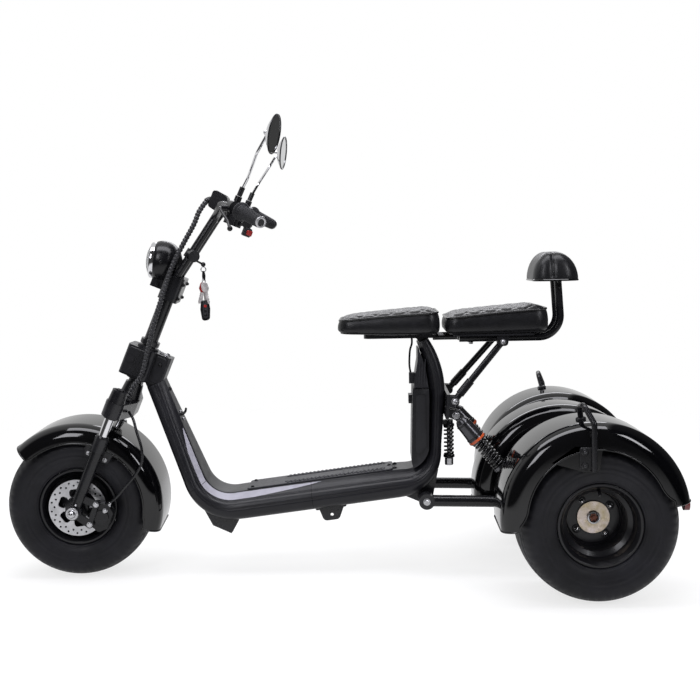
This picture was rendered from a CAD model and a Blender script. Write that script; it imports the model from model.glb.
"""Looks of the three-wheeled electric scooter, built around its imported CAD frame."""

from math import acos, atan2, cos, degrees, hypot, pi, radians, sin, tan

import bmesh
import bpy
import numpy as np
from mathutils import Matrix, Vector
from numpy.linalg import norm


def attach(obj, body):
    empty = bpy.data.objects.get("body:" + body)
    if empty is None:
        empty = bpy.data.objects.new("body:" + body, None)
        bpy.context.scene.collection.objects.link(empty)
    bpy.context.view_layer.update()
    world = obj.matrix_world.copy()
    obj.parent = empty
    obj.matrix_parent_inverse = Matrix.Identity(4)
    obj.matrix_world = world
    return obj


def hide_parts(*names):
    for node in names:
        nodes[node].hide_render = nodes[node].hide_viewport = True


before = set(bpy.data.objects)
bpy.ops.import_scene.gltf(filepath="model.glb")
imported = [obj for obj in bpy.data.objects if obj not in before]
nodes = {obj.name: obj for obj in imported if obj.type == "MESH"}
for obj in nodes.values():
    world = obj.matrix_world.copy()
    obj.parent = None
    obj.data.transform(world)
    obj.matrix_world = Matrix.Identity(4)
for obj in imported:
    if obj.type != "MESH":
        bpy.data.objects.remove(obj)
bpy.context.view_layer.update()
scene = bpy.context.scene
scene.view_settings.view_transform = "Standard"

# Frames, in millimetres from the front axle's foot point; the row frame is that moved by MID and in metres
MID, AXLE, RAKE, OFFSET, TURN, BASE = 758.5, 218.0, 23.0, 14.0, 3.5, 1488.0
WHEEL_Y, NECK_W, LEG_Y = 301.0, 415.0, 143.0


def move(x, y, z):
    return Matrix.Translation((x, y, z))


def turn(angle, axis):
    return Matrix.Rotation(radians(angle), 4, axis)


CAR = move(-MID, 0, 0)
STEER = CAR @ move(0, 0, AXLE) @ turn(RAKE, "Y") @ move(OFFSET, 0, 0) @ turn(TURN, "Z")
WHEEL = STEER @ move(-OFFSET, 0, 0)
MIRROR = Matrix.Diagonal((1, -1, 1, 1))


def aim(p, v, spin=0.0):
    z = Vector(v).normalized()
    side = Vector((0, 1, 0)) if abs(z.y) < 0.9 else Vector((1, 0, 0))
    x = side.cross(z).normalized()
    m = Matrix((x, z.cross(x), z)).transposed().to_4x4()
    m.translation = Vector(p)
    return m @ turn(spin, "Z")


def linked(name, data):
    """New object of the scene."""
    o = bpy.data.objects.new(name, data)
    scene.collection.objects.link(o)
    return o


# Camera at the photograph's place
EYE, YAW, PITCH, ROLL = (0.1593, -3.1023, 0.9379), 1.786, 5.059, -1.140
FOCAL_PX, PHOTO_PX, SENSOR = 1037.36, 700, 36
cam = linked("camera", bpy.data.cameras.new("camera"))
yaw, pitch, roll = (radians(a) for a in (YAW, PITCH, ROLL))
fwd = Vector((-sin(yaw) * cos(pitch), cos(yaw) * cos(pitch), -sin(pitch)))
right = Vector((cos(yaw), sin(yaw), 0))
up = right.cross(fwd)
axes = Matrix((right * cos(roll) + up * sin(roll), up * cos(roll) - right * sin(roll), -fwd))
cam.matrix_world = move(*EYE) @ axes.transposed().to_4x4()
cam.data.sensor_width, cam.data.sensor_fit, cam.data.lens = SENSOR, "HORIZONTAL", FOCAL_PX / PHOTO_PX * SENSOR
scene.camera = cam


# Geometry helpers: each returns (vertices, faces)
def loft(rings, caps=True, loop=False):
    rings = np.asarray(rings, float)
    n, m = rings.shape[:2]
    faces = []
    for i in range(n if loop else n - 1):
        a, b = i * m, ((i + 1) % n) * m
        faces += [(a + k, a + (k + 1) % m, b + (k + 1) % m, b + k) for k in range(m)]
    if caps and not loop:
        faces += [tuple(range(m - 1, -1, -1)), tuple(range((n - 1) * m, n * m))]
    return rings.reshape(-1, 3), faces


def unit(v):
    return v / max(1e-9, norm(v))


def lengths(path):
    """Distance of each point of a path from its start."""
    return np.r_[0, np.cumsum(norm(np.diff(path, axis=0), axis=1))]


def spread(t, path):
    """Points of a path at the distances t along it."""
    d = lengths(path)
    return np.stack([np.interp(t, d, k) for k in path.T], 1)


def angles(n):
    return np.linspace(0, 2 * pi, n, endpoint=False)


def hexagon(r):
    return [[r * cos(t), r * sin(t)] for t in np.arange(6) * pi / 3]


def tube(path, r, sides=24, loop=False, caps=True):
    p = np.asarray(path, float)
    n = len(p)
    radii = np.broadcast_to(np.asarray(r, float), (n,))
    step = [p[(i + 1) % n] - p[i - 1] if loop else p[min(n - 1, i + 1)] - p[max(0, i - 1)] for i in range(n)]
    way = [unit(t) for t in step]
    x = unit(np.cross([0.31, 0.9, 0.29] if abs(way[0][1]) < 0.85 else [1.0, 0.1, 0.0], way[0]))
    ang = angles(sides)
    rings = []
    for i in range(n):
        x = unit(x - way[i] * (x @ way[i]))
        y = np.cross(way[i], x)
        rings.append(p[i] + radii[i] * (np.outer(np.cos(ang), x) + np.outer(np.sin(ang), y)))
    return loft(rings, caps, loop)


def lathe(profile, seg=64, closed=False):
    pr = np.asarray(profile, float)
    a = angles(seg)
    rings = [np.stack([r * np.cos(a), r * np.sin(a), np.full(seg, z)], 1) for r, z in pr]
    return loft(rings, caps=not closed, loop=closed)


def corner(a, b, c, r, steps):
    p, q, s = (np.array(k[:2], float) for k in (a, b, c))
    u, v = unit(q - p), unit(s - q)
    h = acos(max(-1, min(1, float(u @ v)))) / 2
    bend = np.sign(u[0] * v[1] - u[1] * v[0])
    start = q - u * r * tan(h)
    mid = start + bend * r * np.array([-u[1], u[0]])
    out = []
    for k in range(steps + 1):
        t = bend * 2 * h * k / steps
        d = start - mid
        out.append(mid + [d[0] * cos(t) - d[1] * sin(t), d[0] * sin(t) + d[1] * cos(t)])
    return out


def rounded(c, steps=6, closed=True):
    n, out = len(c), []
    for i in range(n):
        if c[i][2] > 0 and (closed or 0 < i < n - 1):
            out += corner(c[i - 1], c[i], c[(i + 1) % n], c[i][2], steps)
        else:
            out.append(np.array(c[i][:2], float))
    return np.array(out)


def box2(w, h, r, steps=6):
    return rounded([(-w / 2, -h / 2, r), (w / 2, -h / 2, r), (w / 2, h / 2, r), (-w / 2, h / 2, r)], steps)


def plate(poly, z0, z1, edge=0.8):
    """Prism of a 2-D outline with small chamfered edges."""
    p = np.asarray(poly, float)
    area = np.sum(p[:, 0] * np.roll(p[:, 1], -1) - p[:, 1] * np.roll(p[:, 0], -1))
    p = p if area > 0 else p[::-1]
    d = np.roll(p, -1, 0) - np.roll(p, 1, 0)
    nrm = np.stack([d[:, 1], -d[:, 0]], 1) / np.maximum(1e-6, norm(d, axis=1))[:, None]
    inner = p - nrm * edge
    layers = [(inner, z0), (p, z0 + edge), (p, z1 - edge), (inner, z1)]
    return loft([np.column_stack([q, np.full(len(q), z)]) for q, z in layers])


def curve(points, n=8, loop=False):
    p = np.asarray(points, float)
    m = len(p)
    out = []
    for i in range(m if loop else m - 1):
        a, b, c, d = (p[j % m] if loop else p[max(0, min(m - 1, j))] for j in (i - 1, i, i + 1, i + 2))
        for k in range(n):
            t = k / n
            bow, twist = 2 * a - 5 * b + 4 * c - d, 3 * b - a - 3 * c + d
            out.append(0.5 * (2 * b + (c - a) * t + bow * t**2 + twist * t**3))
    return np.array(out if loop else out + [p[-1]])


def bent(points, r, steps=10):
    p = [np.array(q, float) for q in points]
    out = [p[0]]
    for i in range(1, len(p) - 1):
        u, v = unit(p[i] - p[i - 1]), unit(p[i + 1] - p[i])
        h = acos(max(-1, min(1, float(u @ v)))) / 2
        z = unit(np.cross(u, v))
        x = -np.cross(z, u)
        o = p[i] - u * r * tan(h) - x * r
        out += [o + r * (x * cos(2 * h * k / steps) + u * sin(2 * h * k / steps)) for k in range(steps + 1)]
    return np.array(out + [p[-1]])


def side(poly, y0, y1, edge=0.8):
    """Plate drawn in the side view (x, z) between two y values, in either order."""
    v, f = plate(np.asarray(poly) * [1, -1], *sorted((y0, y1)), edge)
    return v[:, [0, 2, 1]] * [1, 1, -1], f


def coil(r, wire, turns, h, steps=28, sides=10, flat=0.8):
    """Spring wire about z, with its end turns closed up."""
    t = np.linspace(0, 1, int(turns * steps))
    z = h * np.interp(t * turns, [0, flat, turns - flat, turns], [0, flat * wire / h, 1 - flat * wire / h, 1])
    a = 2 * pi * turns * t
    return tube(np.stack([r * np.cos(a), r * np.sin(a), z], 1), wire / 2, sides)


# Materials
def tools(tree):
    """Makers of nodes and of links (node, output, node, input) in one node tree."""

    def link(*rows):
        for a, i, b, k in rows:
            tree.links.new(a.outputs[i], b.inputs[k])

    return lambda kind: tree.nodes.new("ShaderNode" + kind), link


def put(node, **values):
    """Sets a node's inputs by name, with underscores for spaces."""
    for key, value in values.items():
        node.inputs[key.replace("_", " ")].default_value = value


def surface(name, base, rough, metal=0.0, spec=0.5, coat=0.0, tint=(9, 0.25), rvar=0.12, grain=(), stretch=(1, 1, 1),
            wear=0.0, sheen=0.0, second=None):
    """Principled material whose colour, roughness and relief vary by procedural noise in object space."""
    m = bpy.data.materials.new(name)
    m.use_nodes = True
    N, L = tools(m.node_tree)
    b = m.node_tree.nodes["Principled BSDF"]
    co, mp = N("TexCoord"), N("Mapping")
    put(mp, Scale=stretch)
    L((co, "Object", mp, "Vector"))

    def noise(scale, detail=5.0):
        t = N("TexNoise")
        put(t, Scale=scale, Detail=detail)
        L((mp, "Vector", t, "Vector"))
        return t, "Fac"

    ramp = N("ValToRGB")
    dark, light = ramp.color_ramp.elements
    dark.position, light.position = 0.32, 0.68
    dark.color = [c * (1 - tint[1]) for c in base] + [1]
    light.color = [min(1, c * (1 + tint[1])) for c in (second or base)] + [1]
    L((*noise(tint[0]), ramp, "Fac"))
    colour = ramp, "Color"
    if wear:
        geo, edge, mix = N("NewGeometry"), N("MapRange"), N("Mix")
        put(edge, From_Min=0.53, From_Max=0.62, To_Max=wear)
        mix.data_type = "RGBA"
        mix.inputs[7].default_value = [min(1, c * 4 + 0.05) for c in base] + [1]
        L((geo, "Pointiness", edge, "Value"), (edge, "Result", mix, 0), (*colour, mix, 6))
        colour = mix, 2
    rr = N("MapRange")
    put(rr, From_Min=0.3, From_Max=0.7, To_Min=rough * (1 - rvar), To_Max=min(1, rough * (1 + rvar)))
    L((*colour, b, "Base Color"), (*noise(tint[0] * 3.1 + 4), rr, "Value"), (rr, "Result", b, "Roughness"))
    normal = None
    for scale, strength, depth, *cells in grain:
        if cells:
            t = N("TexVoronoi")
            t.feature = cells[0]
            put(t, Scale=scale)
            L((mp, "Vector", t, "Vector"))
            height = t, "Distance"
        else:
            height = noise(scale, 3.0)
        bump = N("Bump")
        put(bump, Strength=strength, Distance=depth)
        L((*height, bump, "Height"))
        if normal:
            L((*normal, bump, "Normal"))
        normal = bump, "Normal"
    if normal:
        L((*normal, b, "Normal"))
    put(b, Metallic=metal, Specular_IOR_Level=spec, Coat_Weight=coat, Coat_Roughness=0.04, Sheen_Weight=sheen)
    m.diffuse_color = (*base, 1)
    return m


GLOSS = surface("gloss_black", (0.0022, 0.0022, 0.0028), 0.07, spec=0.42, coat=0.3, grain=[(140, 0.02, 0.001)])
PLASTIC = surface("shell_plastic", (0.0125, 0.0125, 0.0160), 0.34, spec=0.40, tint=(14, 0.16),
                  grain=[(1500, 0.10, 0.0006), (60, 0.03, 0.001)], wear=0.25)
STRIP = surface("deck_inlay", (0.46, 0.45, 0.52), 0.24, spec=0.6, tint=(30, 0.08), coat=0.4,
                grain=[(900, 0.08, 0.0005)])
DECK = surface("deck_mat", (0.022, 0.022, 0.027), 0.46, tint=(22, 0.2), grain=[(1200, 0.25, 0.0008)], wear=0.3)
CASE = surface("case_plastic", (0.0105, 0.0105, 0.0130), 0.34, spec=0.40, tint=(12, 0.2),
               grain=[(1300, 0.12, 0.0006)], wear=0.25)
PAINT = surface("frame_paint", (0.0070, 0.0070, 0.0090), 0.27, spec=0.40, tint=(18, 0.25), coat=0.15,
                grain=[(420, 0.03, 0.0005)], wear=0.15)
BLACK = surface("black_plastic", (0.0065, 0.0065, 0.0080), 0.24, spec=0.40, tint=(16, 0.2), grain=[(700, 0.06, 0.0005)],
                wear=0.2)
SPRING = surface("spring_black", (0.005, 0.005, 0.006), 0.16, coat=0.5, tint=(30, 0.2),
                 grain=[(300, 0.05, 0.0005)])
RUBBER = surface("tyre_rubber", (0.0078, 0.0078, 0.0108), 0.52, spec=0.34, tint=(11, 0.28), rvar=0.15,
                 second=(0.0100, 0.0100, 0.0136),
                 grain=[(900, 0.18, 0.0008), (75, 0.05, 0.0015)], wear=0.12)
GRIP = surface("grip_rubber", (0.020, 0.020, 0.024), 0.55, spec=0.4, tint=(40, 0.2), grain=[(1100, 0.25, 0.0006)])
LEATHER = surface("seat_leather", (0.0068, 0.0068, 0.0086), 0.35, spec=0.45, tint=(25, 0.3), sheen=0.02,
                  grain=[(430, 0.10, 0.0005, "DISTANCE_TO_EDGE"), (120, 0.08, 0.001)])
PIPING = surface("seat_piping", (0.010, 0.010, 0.011), 0.22, tint=(60, 0.2), coat=0.3, grain=[(800, 0.1, 0.0004)])
CHROME = surface("chrome", (0.82, 0.82, 0.84), 0.07, metal=1, tint=(14, 0.05), grain=[(260, 0.01, 0.0005)])
STEEL = surface("bright_steel", (0.58, 0.58, 0.60), 0.27, metal=1, tint=(60, 0.14), rvar=0.25,
                grain=[(900, 0.06, 0.0004)])
DISC = surface("disc_steel", (0.60, 0.60, 0.62), 0.34, metal=1, tint=(30, 0.12), rvar=0.2, stretch=(1, 8, 1),
               grain=[(420, 0.10, 0.0005)])
GOLD = surface("zinc_gold", (0.54, 0.45, 0.27), 0.32, metal=1, tint=(34, 0.14), second=(0.66, 0.58, 0.56), rvar=0.2,
               grain=[(700, 0.08, 0.0004)])
BRONZE = surface("star_socket", (0.17, 0.07, 0.05), 0.4, metal=0.8, tint=(120, 0.3), grain=[(900, 0.2, 0.0005)])
ALLOY = surface("shock_body", (0.075, 0.075, 0.082), 0.26, metal=0.75, tint=(20, 0.2), coat=0.2,
                grain=[(500, 0.05, 0.0005)], wear=0.3)
CAST = surface("cast_case", (0.050, 0.050, 0.055), 0.46, metal=0.5, tint=(25, 0.25),
               grain=[(520, 0.35, 0.0012)], wear=0.4)
ORANGE = surface("collar_orange", (0.70, 0.11, 0.025), 0.28, tint=(40, 0.15), coat=0.4, grain=[(400, 0.05, 0.0005)])
RED = surface("lamp_red", (0.24, 0.012, 0.010), 0.16, tint=(40, 0.2), coat=0.6, spec=0.6,
              grain=[(260, 0.25, 0.0012, "DISTANCE_TO_EDGE")])
CABLE = surface("cable_black", (0.009, 0.009, 0.011), 0.27, tint=(60, 0.25), grain=[(1000, 0.15, 0.0005)])
CONDUIT = surface("cable_conduit", (0.030, 0.030, 0.034), 0.30, tint=(60, 0.2), grain=[(900, 0.08, 0.0004)])
RIM = surface("rim_paint", (0.0085, 0.0085, 0.0105), 0.31, spec=0.42, tint=(20, 0.22), coat=0.1,
              grain=[(500, 0.06, 0.0005)], wear=0.2)
MIRROR_MAT = surface("mirror_glass", (0.88, 0.89, 0.90), 0.03, metal=1, tint=(8, 0.03))
SCREEN = surface("display_face", (0.006, 0.007, 0.010), 0.09, tint=(40, 0.2), coat=0.8, grain=[(200, 0.01, 0.0004)])
LENS = surface("lens_clear", (0.96, 0.97, 0.98), 0.05, tint=(60, 0.02), spec=0.6,
               grain=[(130, 0.2, 0.001, "DISTANCE_TO_EDGE")])
put(LENS.node_tree.nodes["Principled BSDF"], Transmission_Weight=0.92)
KEYS = surface("key_nickel", (0.66, 0.63, 0.63), 0.48, metal=0.55, tint=(90, 0.25), grain=[(600, 0.15, 0.0005)])
RED_GLOSS = surface("switch_red", (0.42, 0.02, 0.018), 0.3, tint=(60, 0.2), coat=0.3, grain=[(700, 0.1, 0.0005)])


# Pieces
def shade(me, sharp):
    """Soft shading, apart from edges above an angle."""
    me.polygons.foreach_set("use_smooth", [True] * len(me.polygons))
    if sharp:
        me.set_sharp_from_angle(angle=radians(sharp))


def clad(me, mat, sharp=38):
    """Gives a whole mesh one material and soft shading."""
    me.materials.clear()
    me.materials.append(mat)
    me.polygons.foreach_set("material_index", [0] * len(me.polygons))
    shade(me, sharp)


def placed(v, m):
    a = np.array(m)
    return np.asarray(v, float) @ a[:3, :3].T + a[:3, 3]


class Piece:
    """A mesh object gathered from several forms, each with its own material, that rides on one CAD body."""

    def __init__(self, name, body, slot):
        self.name, self.body, self.slot = name, body, slot
        self.v, self.f, self.k, self.mats, self.n = [], [], [], [], 0

    def add(self, geo, mat, m=CAR):
        v, f = geo
        v = placed(v, m)
        if mat not in self.mats:
            self.mats.append(mat)
        flip = np.linalg.det(np.array(m)[:3, :3]) < 0
        for face in f:
            q = [i + self.n for i in face]
            self.f.append(q[::-1] if flip else q)
        self.k += [self.mats.index(mat)] * len(f)
        self.v.append(v)
        self.n += len(v)
        return self

    def turned(self, profile, seg, mat, m=CAR):
        """Adds a closed outline turned about z."""
        return self.add(lathe(profile, seg, closed=True), mat, m)

    def done(self, *replaced, sharp=40):
        me = bpy.data.meshes.new(self.name)
        me.from_pydata((np.concatenate(self.v) * 0.001).tolist(), [], self.f)
        for mat in self.mats:
            me.materials.append(mat)
        me.polygons.foreach_set("material_index", self.k)
        me.validate()
        bm = bmesh.new()
        bm.from_mesh(me)
        bmesh.ops.recalc_face_normals(bm, faces=bm.faces)
        bm.to_mesh(me)
        bm.free()
        shade(me, sharp)
        o = linked(self.name, me)
        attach(o, self.body)
        if replaced:
            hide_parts(*replaced)
        return o


def bolt(pc, m, p, v, d, mat=STEEL, kind="hex", h=None, washer=True):
    """Bolt head on a face at p, pointing out along v."""
    a = m @ aim(p, v, 15)
    z = 0.0
    if washer:
        pc.add(lathe([(d * 0.2, 0), (d * 0.68, 0), (d * 0.7, 0.35), (d * 0.68, 1.3), (d * 0.2, 1.3)], 28), mat, a)
        z = 1.2
    h = h or d * 0.55
    if kind == "hex":
        pc.add(plate(hexagon(d * 0.56), z, z + h, d * 0.06), mat, a)
    elif kind == "dome":
        prof = [(d / 2, z), (d / 2, z + h * 0.35)]
        prof += [(d / 2 * cos(t), z + h * (0.35 + 0.65 * sin(t))) for t in np.linspace(0.2, 1.15, 6)]
        prof += [(d * 0.2, z + h * 0.55), (0.1, z + h * 0.5)]
        pc.add(lathe(prof, 24), mat, a)
    else:
        pc.add(plate(hexagon(d * 0.55), z, z + h * 0.5, d * 0.05), mat, a)
        prof = [(d * 0.46 * cos(t), z + h * 0.5 + d * 0.5 * sin(t)) for t in np.linspace(0, 1.52, 9)]
        pc.add(lathe(prof, 28), mat, a)


for cad, mat in {
    "neck_housing": CASE, "battery_case": CASE, "column_cover": PLASTIC, "seat_rail": PAINT, "seat_struts": PAINT,
    "strut_beam": PAINT, "shock_left": ALLOY, "shock_right": ALLOY, "shock_collars": ORANGE, "swingarm": PAINT,
    "axle_housing": CAST, "rear_lamps": RED, "stand_bracket": PAINT, "floor_guard": PAINT, "steering_stem": PAINT,
    "fork_stanchions": CHROME, "fork_legs": PAINT, "front_axle": STEEL, "brake_caliper": BLACK, "display": BLACK,
    "mirrors": CHROME, "mirror_glass": MIRROR_MAT, "ignition_lock": BLACK, "front_disc": DISC, "brake_levers": BLACK,
    "handlebar": PAINT,
}.items():
    clad(nodes[cad].data, mat)


# The mirrors' sleeves are black below their bright stalks
SLEEVE_TOP = 1062
stalks = nodes["mirrors"].data
stalks.materials.append(BLACK)
level = STEER.inverted()
for face in stalks.polygons:
    if (level @ (face.center * 1000)).z < SLEEVE_TOP:
        face.material_index = 1


# Cords first: the wrapped bundle down the stem and the brake hose
BUNDLE = [(10, -34, 986), (2, -48, 948), (2, -58, 905), (-6, -64, 840), (-12, -68, 765), (-8, -72, 690),
          (-2, -72, 600), (10, -71, 510), (18, -71, 440), (10, -75, 395), (8, -75, 350)]
LEAD = [(1001, -20, 595.3), (998, -20, 619), (1000, -20, 659), (1006, -20, 681), (1006, -20, 700.4)]
HOSE = [(26, -100, 326), (48, -126, 316), (72, -146, 290), (104, -154, 250), (118, -154, 212), (114, -152, 170),
        (100, -146, 128), (86, -132, 84), (72, -122, 56)]


def corrugated(path, r, depth, pitch=10.5, step=1.1):
    """Hose with rings along it."""
    t = np.arange(0, lengths(path)[-1], step)
    return tube(spread(t, path), r - depth + depth * np.abs(np.cos(pi * t / pitch)) ** 0.5, 20)


def cord(name, m, path, d, body, mat, cad, wrap=0.0):
    """Cord along a fixed path, with rings where it is wrapped."""
    hose = corrugated(path, d / 2, wrap) if wrap else tube(path, d / 2, 18)
    o = Piece(name, body, "cable").add(hose, mat, m).done(cad, sharp=60)
    pts = placed(path, m) * 0.001
    length = float(norm(np.diff(pts, axis=0), axis=1).sum())


cord("cable_wrap", STEER, curve(BUNDLE, 10), 16, "fork", CONDUIT, "cable_bundle", wrap=3.0)
cord("hose", STEER, curve(HOSE, 10), 8, "fork", CABLE, "brake_hose")
cord("lead", CAR, curve(LEAD, 8), 6, "frame", CABLE, "battery_lead")

# Main shell: leg shield, floor and seat column
SHELL = [(236, 573, 0), (386, 197, 120), (1064, 282, 105), (1081, 596, 330), (1037, 692, 0)]
shell = rounded(SHELL, 30, closed=False)
run = lengths(shell)[-1]
mark = lengths(rounded(SHELL, 9, closed=False))
mark *= run / mark[-1]
stations = np.linspace(0, run, 190)
line = spread(stations, shell)
along = np.gradient(line, axis=0)
along /= norm(along, axis=1)[:, None]
out_dir = np.stack([-along[:, 1], along[:, 0]], 1)
soft = np.hanning(13) / np.hanning(13).sum()


def eased(xs, ys):
    v = np.interp(stations, xs, ys)
    return np.convolve(np.pad(v, 6, mode="edge"), soft, mode="valid")


shell_t = eased(mark[[0, 1, 10, 11, 20, 21, 25, 30, 31]], [56, 60, 81, 81, 36, 46, 49, 42, 33]) / 2
shell_w = eased(mark[[0, 1, 10, 11, 20, 21, 30, 31]], [38, 101, 105, 105, 90, 84, 72, 64])
HALF = [(0.30, 1.0), (0.50, 1.0), (0.548, 0.985), (0.56, 0.955), (0.575, 0.925), (0.648, 0.80), (0.722, 0.675),
        (0.795, 0.55), (0.802, 0.525), (0.812, 0.475), (0.824, 0.47), (0.838, 0.485), (0.852, 0.465), (0.860, 0.415),
        (0.872, 0.41), (0.886, 0.425), (0.930, 0.35), (0.964, 0.22), (0.985, 0.08), (0.994, 0.0), (0.985, -0.035),
        (0.984, -0.075), (0.995, -0.11), (1.0, -0.24), (0.990, -0.42), (0.968, -0.60), (0.925, -0.76), (0.855, -0.89),
        (0.76, -0.965), (0.62, -1.0), (0.30, -1.0)]
BAND = slice(4, 8)
band_from, band_to = 150.0, mark[10] * 0.5 + mark[11] * 0.5
rings = []
for i, at in enumerate(stations):
    half = np.array(HALF)
    taper = min(1, max(0, (at - band_from) / 75), max(0, (band_to - at) / 200)) ** 0.7
    half[BAND] = half[BAND.start] + (half[BAND] - half[BAND.start]) * (0.03 + 0.97 * taper)
    ring = np.vstack([half, half[::-1] * [-1, 1]])
    rings.append(np.stack([line[i, 0] + out_dir[i, 0] * shell_t[i] * ring[:, 1], shell_w[i] * ring[:, 0],
                           line[i, 1] + out_dir[i, 1] * shell_t[i] * ring[:, 1]], 1))
v, f = loft(rings)
m_ring = len(ring)
inlay = {4, 5, 6} | {m_ring - 2 - k for k in (4, 5, 6)}
body = Piece("shell", "frame", "shell_plastic")
quads = [q for q in f if len(q) == 4]
is_inlay = [(q[0] % m_ring) in inlay and band_from < stations[q[0] // m_ring] < band_to for q in quads]
body.add((v, [q for q, s in zip(quads, is_inlay) if not s] + [q for q in f if len(q) != 4]), PLASTIC)
body.add((v, [q for q, s in zip(quads, is_inlay) if s]), STRIP)
body.done("body_shell", sharp=50)


def on_shell(s, share, height, lift=0.0):
    """Point and outward direction on the shell's section at a distance along its middle line."""
    i = int(np.argmin(abs(stations - s)))
    p = np.array([line[i, 0] + out_dir[i, 0] * (shell_t[i] * height + lift), shell_w[i] * share,
                  line[i, 1] + out_dir[i, 1] * (shell_t[i] * height + lift)])
    return p, np.array([out_dir[i, 0], 0, out_dir[i, 1]])


# Screws, hook and seams on the leg shield
trim = Piece("shell_trim", "frame", "steel")
for s, y in ((30, 0.0), (mark[11] - 24, -0.3), (mark[11] - 24, 0.3)):
    p, n = on_shell(s, y, 1.0, 0.1)
    bolt(trim, CAR, p, n, 11, BLACK, "dome", 4)
for s in (105, 130):
    p, n = on_shell(s, 0.0, 1.0, 0.1)
    bolt(trim, CAR, p, n, 9, STEEL, "dome", 3.5)
hook, hook_n = on_shell(118, 0.0, 1.0)
hook_path = [hook + hook_n * k for k in (0.5, 8)] + [hook + hook_n * 14 + [0, 0, 4], hook + hook_n * 16 + [0, 0, 13]]
trim.add(tube(curve(hook_path, 6), np.linspace(5, 3, 19), 16), BLACK)
for s in (330, 700):
    i = int(np.argmin(abs(stations - s)))
    seam = [rings[i][k] for k in range(3, 27)]
    for sgn in (1, -1):
        trim.add(tube(np.array(seam) * [1, sgn, 1], 0.7, 6), BLACK)
trim.done(sharp=45)

# Cover plates and bolts on the steering head housing
HEAD = CAR @ move(0, 0, AXLE) @ turn(RAKE, "Y") @ move(OFFSET, 0, NECK_W)
neck = Piece("neck_trim", "frame", "case_plastic")
for s in (-1, 1):
    cover = rounded([(-46, 5, 9), (30, 5, 14), (30, 60, 22), (8, 87, 14), (-46, 87, 12)], 7)
    neck.add(side(cover, s * 45.6, s * 48.2, 1.2), CASE, HEAD)
    for u in (-22, -10, 2):
        neck.add(tube([(u, s * 48.2, 14), (u + 14, s * 48.2, 78)], 1.5, 10), BLACK, HEAD)
    flank = rounded([(40, 6, 6), (77, 6, 12), (77, 86, 14), (40, 86, 6)], 7)
    neck.add(side(flank, s * 29.6, s * 31.8, 1.0), CASE, HEAD)
    bolt(neck, HEAD, (58, s * 31.8, 64), (0, s, 0), 10, BLACK, "dome", 4)
    bolt(neck, HEAD, (62, s * 15, 92.1), (0, 0, 1), 11, STEEL, "dome", 5)
bolt(neck, HEAD, (44, 0, 92.1), (0, 0, 1), 11, STEEL, "dome", 5)
neck.done()

# Foot deck: flat centre, two ribbed tread strips and the rising step at the column
FLOOR = CAR @ move(386, 0, 197) @ turn(-degrees(atan2(85, 678)), "Y") @ move(116.4, 0, 40.5)
deck = Piece("deck", "frame", "deck_plastic")
deck.add(plate(box2(440, 116, 10), 0.4, 5, 1.2), DECK, FLOOR @ move(230, 0, 0))
for s in (-1, 1):
    for k in range(24):
        rib = FLOOR @ move(136 + k * 12.4, s * 46, 0) @ turn(s * 24, "Z")
        deck.add(plate(box2(7, 17, 2, 3), 4.6, 7.6, 1.0), DECK, rib)
    deck.add(plate(box2(304, 3, 1.2, 3), 4.6, 7.0, 0.6), DECK, FLOOR @ move(276, s * 34, 0))
for k in range(9):
    deck.add(plate(box2(3, 60, 1.2, 3), 4.6, 6.6, 0.6), DECK, FLOOR @ move(300 + k * 15, 0, 0))
for x, y in ((26, 44), (26, -44), (440, 0)):
    bolt(deck, FLOOR, (x, y, 5), (0, 0, 1), 9, BLACK, "dome", 3)
deck.done("foot_deck")


# Fenders: a U-section swept round the wheel with rounded ends and a rolled lip
def fender(pc, m, cx, cy, cz, r, half, skirt, a0, a1, ends=(46, 46), shoulder=46, t=3.0, n=90):
    ang = np.radians(np.linspace(a0, a1, n))
    dist = np.minimum((ang - ang[0]) * skirt + 0.5, (ang[-1] - ang) * skirt + 0.5)
    near_first = (ang - ang[0]) < (ang[-1] - ang)
    rc = np.where(near_first, ends[0], ends[1])
    cut = np.where(dist < rc, rc - np.sqrt(np.maximum(0, rc**2 - (rc - dist) ** 2)), 0)
    outer = []
    for a, c in zip(ang, cut):
        low = min(skirt + c, r - shoulder - 2)
        skins = []
        for d in (0, t):
            top, wide, bend = r - d, half - d, shoulder - d
            arch = [(low, -wide, 0), (top, -wide, bend), (top, wide, bend), (low, wide, 0)]
            skins.append(rounded(arch, 12, closed=False))
        sec = np.vstack([skins[0], skins[1][::-1]])
        outer.append(np.stack([cx + sec[:, 0] * cos(a), cy + sec[:, 1], cz + sec[:, 0] * sin(a)], 1))
    pc.add(loft(outer), GLOSS, m)
    k = len(skins[0])
    for idx in (0, k - 1):
        sgn = 1 if idx else -1
        lip = np.array([o[idx] for o in outer]) + [0, sgn * 0.2, 0]
        pc.add(tube(lip, 2.6, 10), GLOSS, m)
    for o in (outer[0], outer[-1]):
        pc.add(tube(o[:k], 2.4, 10), GLOSS, m)


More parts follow.
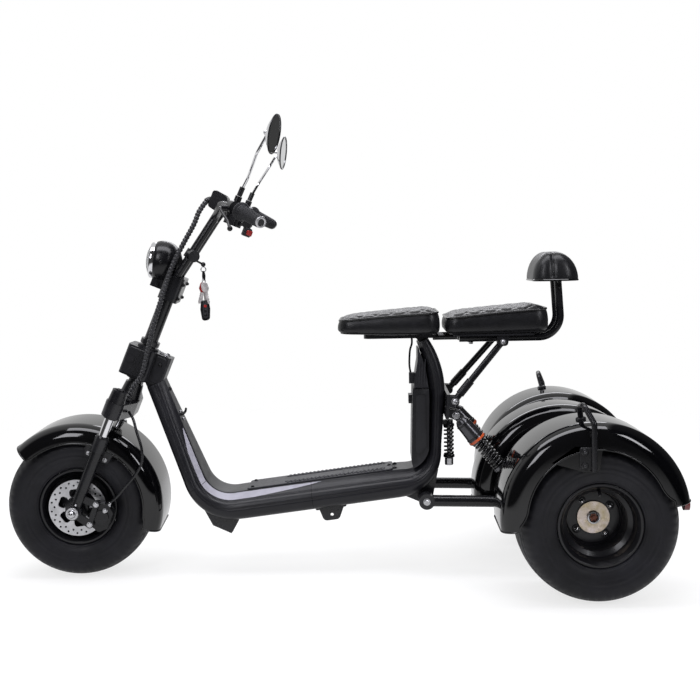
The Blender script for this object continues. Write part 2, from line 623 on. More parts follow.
SIDES = (("left", CAR @ MIRROR), ("right", CAR))
FRONT_R, REAR_R, HALF_W, TAB_Y = 251.0, 252.0, 122.0, 122.2
ff = Piece("fender_front", "fork", "fender_gloss")
fender(ff, WHEEL, 0, 0, 0, FRONT_R, HALF_W, 198, 4.5, 156, ends=(44, 22))
for s in (-1, 1):
    tab = rounded([(-42, 200, 0), (-34, 162, 10), (38, 160, 10), (46, 198, 0)], 5)
    ff.add(side(tab, s * (HALF_W - 3), s * TAB_Y), PAINT, WHEEL)
    for u, w in ((-25, 173), (27, 171)):
        bolt(ff, WHEEL, (u, s * TAB_Y, w), (0, s, 0), 9, STEEL, "dome", 5)
ff.done("front_fender")
for tag, m in SIDES:
    pc = Piece("fender_" + tag, "frame", "fender_gloss")
    fender(pc, m, BASE - 13, WHEEL_Y, AXLE + 27, REAR_R, HALF_W, 184, 9, 189, ends=(56, 56))
    lug = rounded([(-122, 150, 0), (-36, 124, 12), (4, 122, 12), (12, 190, 0), (-60, 194, 0)], 6)
    pc.add(side(lug + [BASE - 13, AXLE + 27], WHEEL_Y + HALF_W - 3, WHEEL_Y + HALF_W), GLOSS, m)
    pc.done("rear_fender_" + tag)
mid = Piece("fender_mid", "frame", "fender_gloss")
fender(mid, CAR, BASE - 43, 0, AXLE + 17, REAR_R + 10, 90, 196, 16, 187, ends=(36, 36), shoulder=44)
for s in (-1, 1):
    foot = box2(26, 14, 2, 4) + [BASE - 43 - 219, AXLE + 17 - 12]
    mid.add(side(foot, s * 89, s * 103.7), GLOSS)
mid.done("rear_fender_mid")

# Grab handles
H = HALF_W + WHEEL_Y + 7.5
GRAB = [(BASE - 25, H, 372), (BASE - 25, H, 499), (BASE - 46, H - 34, 543), (BASE - 50, H - 72, 535),
        (BASE - 43, H - 92, 499)]
for tag, m in SIDES:
    pc = Piece("grab_" + tag, "frame", "frame_paint")
    pc.add(tube(bent(GRAB, 20, 14), 7.5, 24), PAINT, m)
    foot = np.array([BASE - 13, GRAB[4][1], AXLE + 27])
    out = unit(np.array([GRAB[4][0] - foot[0], 0, GRAB[4][2] - foot[2]]))
    at = m @ aim(foot + out * (REAR_R + 0.3), out)
    pc.add(lathe([(1, 0), (14, 0), (14, 5), (10, 8), (7, 9), (1, 9)], 32), PAINT, at)
    pc.add(side(box2(38, 60, 5) + [BASE - 43, 406], H - 7.2, H - 2.2), PAINT, m)
    for z in (388, 424):
        pc.add(lathe([(1, 0), (10.5, 0), (10.5, 1.2), (9.4, 2.6), (9.4, 7), (7.5, 8.8), (1, 8.8)], 28), PAINT,
               m @ aim((BASE - 49, H - 7.2, z), (0, 1, 0)))
        bolt(pc, m, (BASE - 49, H + 1.5, z), (0, 1, 0), 8, ALLOY, "dome", 3, washer=False)
    pc.done(*["grab_handles"] * (tag == "right"))


# Tyres: carcass turned about the axle, with sidewall rings and tread grooves
def tyre(name, body_name, cad, m):
    r0, rc, w, bead = 114.8, 166.0, 108.0, 84.0
    pts = []
    for y in w * np.sin(np.radians(np.linspace(-90, 90, 73))):
        pts.append([rc + 52 * max(0, 1 - abs(y / w) ** 2.6) ** (1 / 2.6), y])
    wall = np.radians(np.linspace(4, 90, 30))
    sides = np.array([[rc - (rc - r0) * sin(t), bead + (w - bead) * cos(t)] for t in wall])
    ridge = np.zeros(len(sides))
    for at, high, wide in ((0.10, 1.0, 0.03), (0.20, -0.9, 0.025), (0.62, 0.9, 0.03), (0.78, 1.3, 0.05)):
        ridge += high * np.exp(-(((np.linspace(0, 1, len(sides)) - at) / wide) ** 2))
    sides[:, 1] += ridge - 0.9
    prof = np.vstack([pts, sides, (sides * [1, -1])[::-1]])
    seg = 224
    a = angles(seg)
    yy = prof[:, 1][:, None]
    rr = np.repeat(prof[:, 0][:, None], seg, 1)
    tread = prof[:, 0][:, None] > 178
    zig = yy + 4.0 * np.abs(((a * 56 / pi) % 2) - 1)[None] * np.sign(yy + 1e-6)
    depth = np.zeros_like(rr)
    for c in (-72, -48, -24, 0, 24, 48, 72):
        depth = np.maximum(depth, 2.4 * np.exp(-(((zig - c) / 2.6) ** 4)))
    lug = (np.abs(yy) > 78) * (np.abs(((a * 56 / pi) % 2) - 1)[None] < 0.28)
    depth = np.maximum(depth, 2.0 * lug)
    rr = rr - depth * tread
    rings = np.stack([rr * np.cos(a), np.repeat(yy, seg, 1), rr * np.sin(a)], 2)
    pc = Piece(name, body_name, "tyre").add(loft(rings, loop=True), RUBBER, m)
    return pc.done(cad, sharp=55)


LEFT = CAR @ move(BASE, -WHEEL_Y, AXLE) @ MIRROR
RIGHT = CAR @ move(BASE, WHEEL_Y, AXLE)
tyre("tyre_front", "front_wheel", "front_tyre", WHEEL)
tyre("tyre_left", "rear_wheel_left", "rear_tyre_left", LEFT)
tyre("tyre_right", "rear_wheel_right", "rear_tyre_right", RIGHT)

# Rims, hubs and the brake disc's bolts, turned about the axle (y outwards)
TURN_Y = turn(-90, "X")


def flipped(points):
    return [(r, -y, k) for r, y, k in reversed(points)]


def barrel():
    r = 114.4
    outer = [(r, -89, 2), (r, -83, 2), (r - 10, -80, 3), (r - 12, -48, 5), (r - 28, -38, 5)]
    inner = [(r - 34, -40, 6), (r - 18.5, -50, 6), (r - 16, -76, 6), (r - 7, -89, 2.4)]
    return rounded(outer + flipped(outer) + flipped(inner) + inner, 5)


rim = Piece("rim_front", "front_wheel", "rim_paint").turned(barrel(), 128, RIM, WHEEL @ TURN_Y)
hub = [(82, -7, 2), (82, 7, 2), (38, 14, 4), (38, 95, 2), (10.2, 96, 1), (10.2, -96, 1), (38, -95, 2), (38, -14, 4)]
rim.turned(rounded(hub, 4), 96, RIM, WHEEL @ TURN_Y)
for k in range(5):
    bolt(rim, WHEEL @ turn(72 * k, "Y") @ move(60, -10, 0), (0, 0, 0), (0, -1, 0), 10, RIM, "dome", 5)
rim.done("front_rim")
disc = Piece("disc_bolts", "front_wheel", "steel")
for k in range(6):
    bolt(disc, WHEEL @ turn(60 * k + 30, "Y"), (31, -100.4, 0), (0, -1, 0), 8, BLACK, "dome", 3)
at = WHEEL @ move(0, -100.35, 0) @ turn(90, "X")
disc.turned([(22.5, 0), (36, 0), (36, 2.2), (34, 3.4), (24, 4.4), (22.5, 4.4)], 64, BLACK, at)
disc.done()


def star(r1, r2, n=6):
    k = np.arange(2 * n)
    a, r = k * pi / n, np.where(k % 2, r2, r1)
    return np.stack([r * np.cos(a), r * np.sin(a)], 1)


for tag, m in (("left", LEFT), ("right", RIGHT)):
    pc = Piece("rim_" + tag, "rear_wheel_" + tag, "rim_paint").turned(barrel(), 128, RIM, m @ TURN_Y)
    dish = [(82, -30, 2), (82, -14, 3), (74, -13.5, 2), (72, -11.5, 1.5), (15.2, -12, 0.6), (15.2, -22, 0.6),
            (78, -22, 3)]
    pc.turned(rounded(dish, 4), 128, RIM, m @ TURN_Y)
    pc.turned([(96.6, 49.6), (98.2, 50), (98.6, 52), (97.0, 52.6)], 128, RIM, m @ TURN_Y)
    valve = [(1, 0), (6.2, 0), (5.8, 8), (4.2, 13), (4.2, 24), (4.6, 25), (4.6, 34), (3.6, 35), (1, 35)]
    pc.add(lathe(valve, 20), BLACK, m @ aim((0, 52, 97), (0, 0.86, -0.5)))
    pc.done("rear_rim_" + tag)
    hub = Piece("hub_" + tag, "rear_wheel_" + tag, "zinc_gold")
    face = m @ move(0, -11.6, 0) @ TURN_Y
    hub.turned([(16, 0), (44.2, 0), (45, 0.8), (45, 4.2), (44.2, 5), (16, 5)], 96, GOLD, face)
    nut = [(10.5, 5), (17.5, 5), (18.2, 6.5), (18.2, 9.5), (17, 12.4), (13.6, 13.2), (12.6, 12.4), (10.5, 7)]
    hub.turned(nut, 64, STEEL, face)
    hub.add(plate(star(12.4, 8.2), 4.6, 6.2, 0.3), BRONZE, face)
    hub.add(plate(star(6.8, 4.6), 5.8, 10.0, 0.5), BRONZE, face)
    hub.add(lathe([(2, 0), (15, 0), (15, -140), (2, -140)], 40), STEEL, face)
    for k in range(4):
        at = m @ turn(55 + 90 * k, "Y") @ move(55.5, -11.6, 0)
        hub.turned([(4, 0), (12.5, 0), (12.5, 1.2), (11.6, 1.8), (4, 1.8)], 32, RIM, at @ TURN_Y)
        bolt(hub, at, (0, 1.6, 0), (0, 1, 0), 13, CHROME, "acorn", 9, washer=False)
    hub.done("rear_hub_" + tag)


# Seats and backrest: closed pads swollen by a cloth simulation, held along their stitch lines
def resample(poly, n):
    p = np.vstack([poly, poly[:1]])
    return spread(np.linspace(0, lengths(p)[-1], n, endpoint=False), p)


def inset(poly, d):
    e = np.roll(poly, -1, 0) - np.roll(poly, 1, 0)
    nrm = np.stack([e[:, 1], -e[:, 0]], 1) / norm(e, axis=1)[:, None]
    return poly - nrm * d


PRESSURE, VOXEL, FRAMES = 8.0, 0.005, 20


def swell(o, pinned, groove, cap):
    """Remeshes a closed pad, inflates it with its pinned points held, caps the swelling and draws the stitches in."""
    rm = o.modifiers.new("remesh", "REMESH")
    rm.mode, rm.voxel_size = "VOXEL", VOXEL
    dg = bpy.context.evaluated_depsgraph_get()
    me = bpy.data.meshes.new_from_object(o.evaluated_get(dg))
    o.modifiers.clear()
    o.data = me
    rest = np.array([v.co for v in me.vertices])
    hold = pinned(rest * 1000 + [MID, 0, 0])
    group = o.vertex_groups.new(name="pin")
    for i, w in enumerate(hold):
        if w > 0:
            group.add([i], float(w), "REPLACE")
    cl = o.modifiers.new("cloth", "CLOTH")
    s = cl.settings
    s.quality, s.mass, s.tension_stiffness, s.compression_stiffness, s.bending_stiffness = 6, 0.25, 12, 12, 0.3
    s.use_pressure, s.uniform_pressure_force = True, PRESSURE
    s.vertex_group_mass = "pin"
    s.effector_weights.gravity = 0
    cl.collision_settings.use_collision = False
    cl.point_cache.frame_start, cl.point_cache.frame_end = 1, FRAMES
    for k in range(1, FRAMES + 1):
        scene.frame_set(k)
    dg = bpy.context.evaluated_depsgraph_get()
    ev = o.evaluated_get(dg).to_mesh()
    now = np.array([v.co for v in ev.vertices])
    o.modifiers.clear()
    o.vertex_groups.clear()
    scene.frame_set(1)
    d = now - rest
    size = norm(d, axis=1)
    d *= np.minimum(1, cap * 0.001 / np.maximum(size, 1e-9))[:, None]
    me.vertices.foreach_set("co", (rest + d).astype(np.float32).ravel())
    me.update()
    at = np.array([v.co for v in me.vertices])
    pull = np.array([v.normal for v in me.vertices]) * groove(rest * 1000 + [MID, 0, 0])[:, None] * 0.001
    me.vertices.foreach_set("co", (at - pull).astype(np.float32).ravel())
    clad(me, LEATHER, None)
    bm = bmesh.new()
    bm.from_mesh(me)
    bmesh.ops.smooth_vert(bm, verts=bm.verts, factor=0.25, use_axis_x=True, use_axis_y=True, use_axis_z=True)
    bm.to_mesh(me)
    bm.free()
    sub = o.modifiers.new("smooth", "SUBSURF")
    sub.levels = sub.render_levels = 1


def near_line(a, pitch):
    return np.abs((a / pitch + 0.5) % 1 - 0.5) * pitch


def seat(name, cad, corners, z_low, z_pipe, z_top, pitch, shift):
    edge = resample(rounded(corners, 14), 150)
    first, len_x = edge[:, 0].min(), np.ptp(edge[:, 0])

    def part(p):
        return (p[:, 0] - first) / len_x

    def height(pair, t):
        return np.interp(t, [0, 0.5, 1], pair)

    rings = []
    for d, z in ((60, 0.0), (14, 0.0), (4, 0.03), (1.2, 0.25), (1.2, 0.5), (3.0, 0.78), (7, 1.0)):
        q = inset(edge, d)
        low, pipe = height(z_low, part(edge)), height(z_pipe, part(edge))
        rings.append(np.column_stack([q, low + (pipe - low) * z]))
    for d, z in ((16, 0.45), (28, 0.75), (46, 0.92), (66, 1.0)):
        q = inset(edge, d)
        pipe, top = height(z_pipe, part(q)), height(z_top, part(q))
        rings.append(np.column_stack([q, pipe + (top - pipe) * z]))
    o = Piece(name, "frame", "seat_leather").add(loft(rings), LEATHER).done(cad, sharp=180)
    pipe_line = rings[6]

    def stitch_gap(p):
        return np.minimum(near_line(p[:, 0] + p[:, 1] - shift, pitch), near_line(p[:, 0] - p[:, 1] - shift, pitch))

    def groove(p):
        above = p[:, 2] - height(z_pipe, part(p))
        return 3.6 * np.exp(-((stitch_gap(p) / 4.5) ** 2)) * np.clip((above - 1) / 6, 0, 1)

    def pinned(p):
        t = part(p)
        top = p[:, 2] > height(z_pipe, t) + 3
        stitch = stitch_gap(p) < 3.2
        rim = np.abs(p[:, 2] - height(z_pipe, t)) < 4
        return np.where((top & stitch) | rim | (p[:, 2] < height(z_low, t) + 7), 1.0, 0.0)

    swell(o, pinned, groove, 6.5)
    pipe = Piece(name + "_piping", "frame", "seat_leather")
    pipe.add(tube(curve(pipe_line[::3], 3, loop=True) + [0, 0, 0.6], 3.3, 12, loop=True), PIPING)
    pan = inset(edge, 9)
    low = height(z_low, part(edge))
    pan_rings = [np.column_stack([inset(pan, d), low + h]) for d, h in ((2, -3.6), (0, -2.6), (0, 4), (3, 5))]
    pipe.add(loft(pan_rings), BLACK)
    pipe.done()


seat("seat_pad_front", "seat_front", [(787, -103, 44), (1088, -127, 38), (1088, 127, 38), (787, 103, 44)],
     (721, 717, 717), (755, 767, 776), (767, 781, 791), 46, 946)
seat("seat_pad_rear", "seat_rear", [(1100, -123, 36), (1401, -123, 40), (1401, 123, 40), (1100, 123, 36)],
     (717, 717, 719), (758, 772, 782), (772, 787, 798), 46, 1256)

SEAM, BACK_Z = 1415.0, 860.0
rings = []
base = resample(rounded([(-59, -104, 40), (80, -104, 46), (80, 104, 46), (-59, 104, 40)], 12), 96)
for phi in np.radians([0, 3, 12, 24, 36, 48, 60, 70, 78, 84]):
    sx, sy = cos(phi) ** 0.9, cos(phi) ** 0.34
    rings.append(np.column_stack([SEAM + base[:, 0] * sx * 0.96, base[:, 1] * sy * 0.97,
                                  np.full(len(base), BACK_Z + 3 + 84 * sin(phi))]))
rings.insert(0, np.column_stack([SEAM + base[:, 0] * 0.6, base[:, 1] * 0.6, np.full(len(base), BACK_Z + 3)]))
back = Piece("back_pad", "frame", "seat_leather").add(loft(rings), LEATHER).done("backrest_pad", sharp=180)
swell(back, lambda p: np.where((np.abs(p[:, 0] - SEAM) < 3.2) | (p[:, 2] < BACK_Z + 10), 1.0, 0.0),
      lambda p: 5.0 * np.exp(-(((p[:, 0] - SEAM) / 6) ** 2)) * (p[:, 2] > BACK_Z + 8), 5.0)
trim = Piece("back_trim", "frame", "black_plastic")
half_seam = [(SEAM, -104 * cos(a) ** 0.34 * 0.935, BACK_Z + 3 + 81 * sin(a))
             for a in np.linspace(0.05, 1.45, 14)]
seam = np.array(half_seam + [(x, -y, z) for x, y, z in reversed(half_seam)])
trim.add(tube(curve(seam, 4), 2.2, 10), PIPING)
trim.add(plate(base * [0.97, 0.98] + [SEAM, 0], BACK_Z + 0.3, BACK_Z + 6, 1.6), GLOSS)
for s in (-1, 1):
    bolt(trim, CAR, (SEAM + 21, s * 62, BACK_Z + 0.3), (0, 0, -1), 11, BLACK, "hex", 4)
trim.done()

# Backrest tubes
posts = Piece("back_posts", "frame", "frame_paint")
for s in (-1, 1):
    path = bent([(1146, s * 36, 695.7), (1447, s * 36, 695.7), (1436, s * 36, 859.6)], 62, 18)
    posts.add(tube(path, 11, 28), PAINT)
    bolt(posts, CAR, (1180, s * 36, 684.7), (0, 0, -1), 11, STEEL, "hex", 5)
    bolt(posts, CAR, (1437.2, s * 47, 842), (0, s, 0), 9, BLACK, "dome", 4)
posts.done("backrest_frame")

# Shock springs and the small spring behind the column
SHOCK_TOP, SHOCK_LOW, ARM_Y = np.array([1127.0, 481.0]), np.array([BASE - 210, 300.0]), 121.0
vec = (SHOCK_LOW[0] - SHOCK_TOP[0], 0, SHOCK_LOW[1] - SHOCK_TOP[1])
shock_len = hypot(vec[0], vec[2])
springs = Piece("shock_springs", "frame", "spring_black")
extras = Piece("shock_trim", "frame", "steel")
for s in (-1, 1):
    at = CAR @ aim((SHOCK_TOP[0], s * ARM_Y, SHOCK_TOP[1]), vec)
    springs.add(coil(18.2, 7.2, 8, shock_len - 151, 30, 10), SPRING, at @ move(0, 0, 105.3))
    extras.turned([(21.3, 33), (23.0, 34), (23.0, 37), (21.8, 38)], 48, BLACK, at)
    extras.turned([(24.4, 80), (25.6, 81), (25.8, 86), (24.9, 87)], 48, BLACK, at)
    extras.turned([(9.2, 0), (12, 0), (12, 10), (9.2, 10)], 32, CHROME, at @ move(0, 0, shock_len - 31))
    for p, d in ((SHOCK_TOP, 16), (SHOCK_LOW, 16)):
        bolt(extras, CAR, (p[0], s * (ARM_Y + 16.8), p[1]), (0, s, 0), d, STEEL, "hex", 8)
        bolt(extras, CAR, (p[0], s * (ARM_Y - 16.8), p[1]), (0, -s, 0), d, STEEL, "hex", 6)
    bolt(extras, CAR, (1123, s * 154.8, 524), (0, s, 0), 15, STEEL, "dome", 7)
    bolt(extras, CAR, (1266, s * 113.8, 689), (0, s, 0), 13, STEEL, "dome", 6)
    bolt(extras, CAR, (1040, s * 140, 229), (0, s, 0), 15, STEEL, "hex", 8)
springs.done("rear_springs")
extras.done()
col = Piece("column_coil", "frame", "spring_black")
at = CAR @ move(1114, 0, 310)
col.add(coil(12.5, 6.2, 8, 88, 30, 12), SPRING, at @ move(0, 0, 31))
col.add(lathe([(1, 0), (6, 0), (6, 136), (1, 136)], 24), STEEL, at)
for z in (24, 118):
    col.turned([(5, z), (16, z), (17, z + 1.5), (17, z + 6.5), (16, z + 8), (5, z + 8)], 40, BLACK, at)
col.add(plate(hexagon(12.9), 0, 22, 1.4), STEEL, at)
col.turned([(5, 124), (12, 124), (13, 125), (13, 136.5), (12, 138), (5, 138)], 32, BLACK, at)
col.add(plate(box2(20.2, 22, 3), 125, 137, 1), BLACK, at @ move(-10.1, 0, 0))
col.done("column_spring")

# Grips with raised ribs and bright end rings
A, B = np.array([116.0, -220, 997]), np.array([199.0, -339, 989])
grip_v = unit(B - A)
for tag, m in (("left", STEER), ("right", STEER @ MIRROR)):
    pc = Piece("grip_" + tag, "fork", "rubber")
    g = m @ aim(A + grip_v * 24, grip_v)
    prof = [(12.4, 0), (25.4, 0), (26, 1.2), (26, 4.6), (25, 6), (20.2, 8), (19.6, 10)]
    for k in range(15):
        z, r = 13 + k * 6.6, 19.4 - k * 0.21
        prof += [(r - 0.9, z), (r + 0.5, z + 1.2), (r + 0.6, z + 3.4), (r - 0.9, z + 4.6)]
    prof += [(16.4, 114), (16.4, 117)]
    pc.turned(prof + [(12.4, 117)], 48, GRIP, g)
    pc.turned([(8, 116), (15.6, 116), (16, 118), (15.2, 121.6), (13, 122.4), (9.5, 121.4), (8, 119)], 48, STEEL, g)
    pc.add(lathe([(0.2, 115), (9.5, 115), (9.5, 118), (0.2, 118)], 32), BLACK, g)
    pc.done(*["grips"] * (tag == "left"))

# Headlight: bucket ring, reflector and lens
LAMP = STEER @ move(-82, 0, 760) @ turn(90 - RAKE + 8, "Y")
bucket = [(57, 12), (60.2, 21), (61.2, 34), (59.6, 49), (53.5, 63), (42.5, 75), (28, 84), (13, 89.2), (0.3, 91.7)]
ring = Piece("headlight_bucket", "fork", "black_plastic")
ring.turned([(46.2, 6.2), (46.2, 0), (51, 0), (52, 9), *curve(bucket, 5), (0.3, 6.2)], 96, BLACK, LAMP)
ring.done("headlight_shell")
ring = Piece("headlight_ring", "fork", "chrome")
bezel = [(45.9, -1.4), (47.4, -3.8), (50.4, -4.2), (52.6, -2.4), (53.6, 1.4), (53.8, 7), (53.2, 9.6), (52.5, 9.6),
         (51.4, 0.3), (45.9, 0.3)]
ring.turned(bezel, 96, CHROME, LAMP)
for k in (-1, 1):
    bolt(ring, LAMP, (0, k * 61.2, 34), (0, k, 0), 9, BLACK, "dome", 3.5)
ring.done()
a = angles(96)
flute = 0.35 * np.cos(24 * a)
refl = [np.stack([r * np.cos(a), r * np.sin(a), z + flute * (r / 50)], 1)
        for r, z in ((45.2, 1.2), (40, 3.0), (30, 4.6), (16, 5.4), (8, 5.5))]
lens = Piece("headlight_glass", "fork", "lens_clear").add(loft(refl), CHROME, LAMP)
lens.add(lathe([(0.2, 5.4), (7, 5.4), (7, 2.6), (4, 1.2), (0.2, 0.8)], 32), STEEL, LAMP)
dome = [(45.5 * cos(t), -16.8 * sin(t)) for t in np.linspace(0, 1.55, 16)]
dome_in = [(44.4 * cos(t), -14.8 * sin(t) + 0.2) for t in np.linspace(0, 1.55, 16)][::-1]
lens.turned(dome + dome_in, 96, LENS, LAMP)
lens.done("headlight_lens")

# Mirror rims
rims = Piece("mirror_rims", "fork", "black_plastic")
for m, way in ((STEER, (0.95, -0.22, 0.18)), (STEER @ MIRROR, (0.94, 0.14, 0.26))):
    hoop = [(49.6, -1.6), (52.8, -2.4), (54.0, -1.2), (54.2, 0.6), (53.0, 1.8), (50.6, 1.8), (49.6, 0.8)]
    rims.turned(hoop, 72, BLACK, m @ aim((146, -327, 1219), way))
rims.done()

# Bars, clamp bolts, screen, switch and key
bars = Piece("bar_trim", "fork", "steel")
for w in (684, 728):
    for s in (-1, 1):
        bolt(bars, STEER, (35, s * 46, w), (1, 0, 0), 9, BLACK, "dome", 5)
for s in (-1, 1):
    bolt(bars, STEER, (-40, s * 28, 702), (0, s, 0), 10, BLACK, "hex", 5)
    bolt(bars, STEER, (7, s * LEG_Y, 326), (1, 0, 0), 9, STEEL, "dome", 6)
    seal = [(14.4, 0), (19.6, 0), (20.4, 1), (20.4, 4), (19, 5), (14.4, 5)]
    bars.turned(seal, 40, BLACK, STEER @ move(-14, s * LEG_Y, 297.6))
    bars.turned([(14.4, 0), (19, 0), (17.5, 5), (14.4, 6)], 40, BLACK, STEER @ move(-14, s * LEG_Y, 236.4))
    bolt(bars, STEER, (-14, s * LEG_Y, 385), (0, 0, 1), 22, BLACK, "hex", 4, washer=False)
    bolt(bars, WHEEL, (0, s * 169, 0), (0, s, 0), 26, STEEL, "acorn", 9)
    bolt(bars, WHEEL, (0, s * 162, 26), (0, s, 0), 7, STEEL, "dome", 4, washer=False)
bars.add(plate(box2(34, 66, 5), 0, 1.4, 0.4), SCREEN, STEER @ move(41.5, 0, 1021.2) @ turn(7, "Y"))
perch = np.array([62.0, -118, 990]) + unit(np.array([54.0, -102, 7])) * 98
pod = perch + [10 + 22.6 * 0.883, -4 - 22.6 * 0.469, 0]
for m, mat in ((STEER, BLACK), (STEER @ MIRROR, RED_GLOSS)):
    bars.add(plate(box2(20, 15, 4), 0, 8, 2), mat, m @ aim(pod + [0, 0, -14], (0.883, -0.469, 0)))
    bars.add(plate(box2(12, 10, 3), 0, 6, 1.5), BLACK, m @ aim(pod + [0, 0, -34], (0.883, -0.469, 0)))
SWITCH = STEER @ MIRROR @ move(136, -206, 950) @ turn(-28, "Z")
bars.add(plate(box2(26, 22, 5), -27, 1.5, 2.5), GRIP, SWITCH)
bars.add(plate(box2(18, 16, 3), 0, 5, 1.8), RED_GLOSS, SWITCH @ aim((12.6, 0, -13), (1, 0, 0)))
bars.add(plate(box2(16, 18, 3), 0, 4, 1.5), RED_GLOSS, SWITCH @ aim((3, 10.6, -13), (0, 1, 0)))
boot = curve([(9.4, -35, 983), (13, -32, 989), (20, -28, 995), (30, -24, 999)], 6)
bars.add(tube(boot, np.linspace(9.2, 7, 19), 20), BLACK, STEER)
for p in ((38, -148, 44), (42, -148, -19)):
    bolt(bars, STEER, p, (0, -1, 0), 12, STEEL, "hex", 6)
bolt(bars, STEER, (68, -134, 32), (0, -1, 0), 11, STEEL, "hex", 6)
fitting = [(1, 0), (6.4, 0), (6.4, 6), (5.2, 7), (5.2, 15), (4.6, 16), (1, 16)]
bars.add(lathe(fitting, 24), STEEL, STEER @ move(72, -122, 43))
bars.done()
KEY = np.array([8.0, -40, 744]) + unit(np.array([44.0, 0, 212])) * 78 + [46, -22, -12]
KEY_M = STEER @ move(*KEY) @ turn(-RAKE, "Y")
fob = Piece("key_ring", "fork", "steel")
t = angles(24)
loop = np.stack([7.2 * np.cos(t), 0 * t, 7.2 * np.sin(t)], 1)
for z, spin in ((-14.5, 0), (-50, 60)):
    fob.add(tube(loop, 1.5, 10, loop=True), STEEL, KEY_M @ move(0, 0, z) @ turn(spin, "Z"))
strap = [(-3.4, -19, 2), (3.4, -19, 2), (5.6, -33, 3), (4.4, -47, 2), (-3.6, -47, 2), (-4.6, -33, 3)]
fob.add(side(rounded(strap, 5), -3, 3, 1.2), BLACK, KEY_M)
bow = rounded([(-9, 0, 6), (9, 0, 6), (11, -20, 7), (5, -29, 3), (-5, -29, 3), (-11, -20, 7)], 6)
teeth = [(-4, -28), (4, -28), (4, -38), (2.6, -40), (4, -43), (2.4, -46), (4, -50), (2.6, -54), (3.6, -58), (0, -66),
         (-4, -61)]
for lean, y, mat in ((-13, -6.2, KEYS), (9, -2.2, RED_GLOSS), (15, 2.4, KEYS), (-3, 6.0, KEYS)):
    key = KEY_M @ move(0, y, -53) @ turn(lean, "Y")
    fob.add(side(bow, -1.5, 1.5, 0.5), mat, key)
    fob.add(side(teeth, -1.1, 1.1, 0.3), KEYS, key)
case = rounded([(-10, -106, 7), (12, -104, 7), (16, -130, 9), (14, -163, 9), (-8, -167, 9), (-13, -132, 9)], 7)
fob.add(side(case, -6.5, 6.5, 2.6), BLACK, KEY_M)
panel = rounded([(-6, -112, 4), (9, -111, 4), (11, -156, 5), (-4, -159, 5)], 5)
for s in (-1, 1):
    fob.add(side(panel, s * 6.2, s * 7.2, 0.5), CASE, KEY_M)
    for z in (-122, -136, -149):
        fob.add(side(box2(9, 7, 3) + [2.6, z], s * 7, s * 7.9, 0.4), RED_GLOSS if z == -122 else BLACK, KEY_M)
fob.done("key_fob")


# Stage: pale floor that fades into a white backdrop, soft lamps
def blank(owner):
    """Empties the node tree of a material or world and returns its makers."""
    owner.use_nodes = True
    owner.node_tree.nodes.clear()
    return tools(owner.node_tree)


def seen_by(N, L, path):
    """1 for camera, glossy and transmission rays, 0 for light that falls on the object."""
    last = path, "Is Camera Ray"
    for kind in ("Is Glossy Ray", "Is Transmission Ray"):
        step = N("Math")
        step.operation = "MAXIMUM"
        L((*last, step, 0), (path, kind, step, 1))
        last = step, 0
    return last


FLOOR_R, FLOOR_Z, n = 9, -0.0006, 96
floor_me = bpy.data.meshes.new("floor")
around = [2 * pi * k / n for k in range(n)]
floor_me.from_pydata([(FLOOR_R * cos(a), FLOOR_R * sin(a), FLOOR_Z) for a in around], [], [tuple(range(n))])
linked("floor", floor_me)
floor_mat = bpy.data.materials.new("floor")
floor_me.materials.append(floor_mat)
N, L = blank(floor_mat)
out, mixer, clear, both = N("OutputMaterial"), N("MixShader"), N("BsdfTransparent"), N("AddShader")
diffuse, emit, path, coord = N("BsdfDiffuse"), N("Emission"), N("LightPath"), N("TexCoord")
dist, fade, dim, own_ray = N("VectorMath"), N("MapRange"), N("Mix"), N("Mix")
put(diffuse, Color=(0.30, 0.30, 0.302, 1))
put(fade, From_Min=1.5, From_Max=3.6)
dist.operation, fade.interpolation_type = "LENGTH", "SMOOTHSTEP"
dim.data_type = own_ray.data_type = "FLOAT"
dim.inputs[2].default_value, dim.inputs[3].default_value, own_ray.inputs[3].default_value = 0.0, 0.45, 0.74
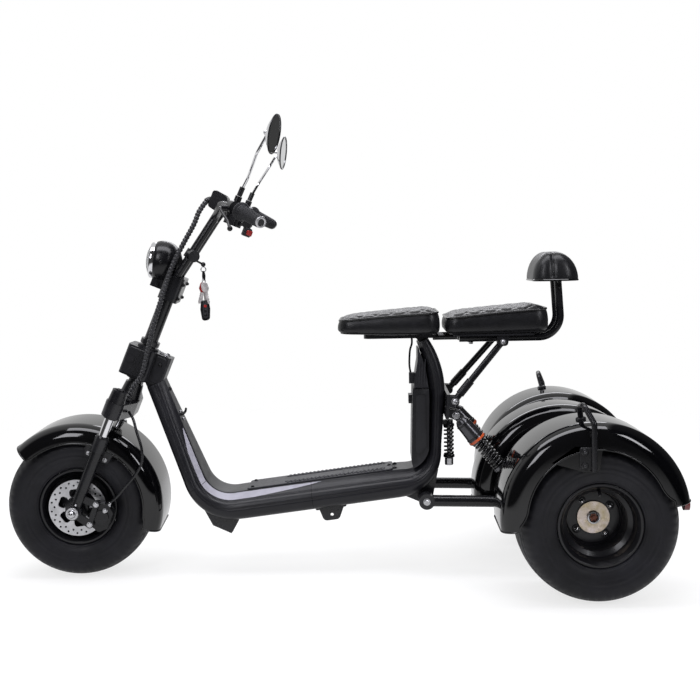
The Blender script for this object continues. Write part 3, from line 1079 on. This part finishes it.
L((*seen_by(N, L, path), dim, 0), (dim, 0, own_ray, 2), (path, "Is Camera Ray", own_ray, 0),
  (own_ray, 0, emit, "Strength"), (diffuse, 0, both, 0), (emit, 0, both, 1), (coord, "Object", dist, 0),
  (dist, "Value", fade, "Value"), (fade, "Result", mixer, "Fac"), (both, 0, mixer, 1), (clear, 0, mixer, 2),
  (mixer, 0, out, "Surface"))

# World: white for the camera, a half-dark wall in reflections, a soft gradient for the light that falls on the object
scene.world = bpy.data.worlds.new("studio")
N, L = blank(scene.world)
out, bg, path, coord, split = (N(k) for k in ("OutputWorld", "Background", "LightPath", "TexCoord", "SeparateXYZ"))
grade, back, edge, wall, pick, show = (N(k) for k in ("MapRange",) * 3 + ("Math", "Mix", "Mix"))
put(grade, From_Min=-0.55, From_Max=0.25, To_Min=0.30, To_Max=0.95)
put(back, From_Min=-0.30, From_Max=0.06, To_Min=0.05, To_Max=0.68)
put(edge, From_Min=0.30, From_Max=0.40, To_Min=1.0, To_Max=0.07)
put(bg, Color=(1, 1, 1, 1))
back.interpolation_type = edge.interpolation_type = "SMOOTHSTEP"
wall.operation = "MULTIPLY"
pick.data_type = show.data_type = "FLOAT"
show.inputs[3].default_value = 1.0
L((coord, "Generated", split, 0), (split, "Y", grade, "Value"), (split, "Y", back, "Value"),
  (split, "X", edge, "Value"), (back, "Result", wall, 0), (edge, "Result", wall, 1),
  (*seen_by(N, L, path), pick, 0), (grade, "Result", pick, 2), (wall, 0, pick, 3), (path, "Is Camera Ray", show, 0),
  (pick, 0, show, 2), (show, 0, bg, "Strength"), (bg, 0, out, "Surface"))


def lamp(name, place, target, size, power):
    d = bpy.data.lights.new(name, "AREA")
    d.shape, d.size, d.size_y, d.energy, d.color = "RECTANGLE", size[0], size[1], power, (0.95, 0.95, 1.0)
    o = linked(name, d)
    o.location = place
    o.rotation_euler = (Vector(target) - Vector(place)).to_track_quat("-Z", "Y").to_euler()


lamp("softbox_top", (0.0, -0.5, 3.0), (0, 0, 0.4), (3.2, 1.0), 52)
lamp("softbox_front", (-1.6, -3.2, 2.6), (-0.2, 0, 0.5), (1.0, 1.6), 34)
lamp("softbox_side", (2.6, -2.6, 2.2), (0.3, 0, 0.4), (0.5, 1.6), 24)
lamp("softbox_back", (0.4, 3.2, 2.6), (0, 0, 0.5), (3.0, 0.8), 26)
